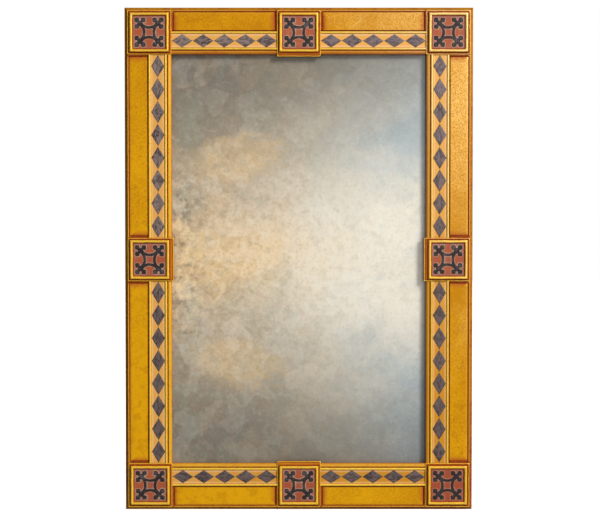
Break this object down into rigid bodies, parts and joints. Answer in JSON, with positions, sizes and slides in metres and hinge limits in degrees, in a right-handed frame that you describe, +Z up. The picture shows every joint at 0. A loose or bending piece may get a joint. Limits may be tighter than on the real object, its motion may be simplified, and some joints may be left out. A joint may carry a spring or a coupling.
{
  "type": "overmantel mirror",
  "caption": "Tall overmantel mirror in a gilded frame with raised rosette blocks, flat gold panels and lozenge inlay round an antiqued glass, with D-ring hangers behind.",
  "frame": {"origin": "on the wall plane, behind the centre of the mirror", "axes": "+Z up, +Y into the wall, the front faces -Y, +X to the right seen from the front"},
  "size_m": [0.9, 0.047, 1.3],
  "materials": {
    "gilded_wood": "worn gilding over red bole",
    "member_wood": "softwood, gilded on the front and edges and bare behind",
    "inlay_wood": "dark stained, waxed",
    "painted_tile": "matt distemper paint on carving",
    "antiqued_mirror": "mottled old silvering",
    "back_board": "bare plywood",
    "zinc_steel": "zinc plated",
    "rubber": "matt"
  },
  "bodies": {
    "frame": {"back_board": "back_board", "back_board_screws": "zinc_steel", "block_bottom_left": "gilded_wood", "block_bottom_middle": "gilded_wood", "block_bottom_right": "gilded_wood", "block_left_middle": "gilded_wood", "block_right_middle": "gilded_wood", "block_top_left": "gilded_wood", "block_top_middle": "gilded_wood", "block_top_right": "gilded_wood", "bottom_rail": "member_wood", "corner_splines": "member_wood", "field_panel_bottom_left": "gilded_wood", "field_panel_bottom_right": "gilded_wood", "field_panel_left_lower": "gilded_wood", "field_panel_left_upper": "gilded_wood", "field_panel_right_lower": "gilded_wood", "field_panel_right_upper": "gilded_wood", "field_panel_top_left": "gilded_wood", "field_panel_top_right": "gilded_wood", "fret_moulding_bottom_left": "gilded_wood", "fret_moulding_bottom_right": "gilded_wood", "fret_moulding_left_lower": "gilded_wood", "fret_moulding_left_upper": "gilded_wood", "fret_moulding_right_lower": "gilded_wood", "fret_moulding_right_upper": "gilded_wood", "fret_moulding_top_left": "gilded_wood", "fret_moulding_top_right": "gilded_wood", "hanger_screws": "zinc_steel", "hanger_strap_left": "zinc_steel", "hanger_strap_right": "zinc_steel", "left_stile": "member_wood", "lozenges_bottom_left": "inlay_wood", "lozenges_bottom_right": "inlay_wood", "lozenges_left_lower": "inlay_wood", "lozenges_left_upper": "inlay_wood", "lozenges_right_lower": "inlay_wood", "lozenges_right_upper": "inlay_wood", "lozenges_top_left": "inlay_wood", "lozenges_top_right": "inlay_wood", "mirror_glass": "antiqued_mirror", "right_stile": "member_wood", "rosette_bottom_left": "painted_tile", "rosette_bottom_middle": "painted_tile", "rosette_bottom_right": "painted_tile", "rosette_left_middle": "painted_tile", "rosette_right_middle": "painted_tile", "rosette_top_left": "painted_tile", "rosette_top_middle": "painted_tile", "rosette_top_right": "painted_tile", "top_rail": "member_wood", "wall_bumpers": "rubber"},
    "ring_left": {"hanger_ring_left": "zinc_steel"},
    "ring_right": {"hanger_ring_right": "zinc_steel"}
  },
  "joints": [
    {"name": "ring_swing_left", "type": "hinge", "parent": "frame", "child": "ring_left", "pos_m": [-0.404, -0.00442, 0.32], "axis": [1, 0, 0], "range_deg": [0, 180]},
    {"name": "ring_swing_right", "type": "hinge", "parent": "frame", "child": "ring_right", "pos_m": [0.404, -0.00442, 0.32], "axis": [1, 0, 0], "range_deg": [0, 180]}
  ]
}
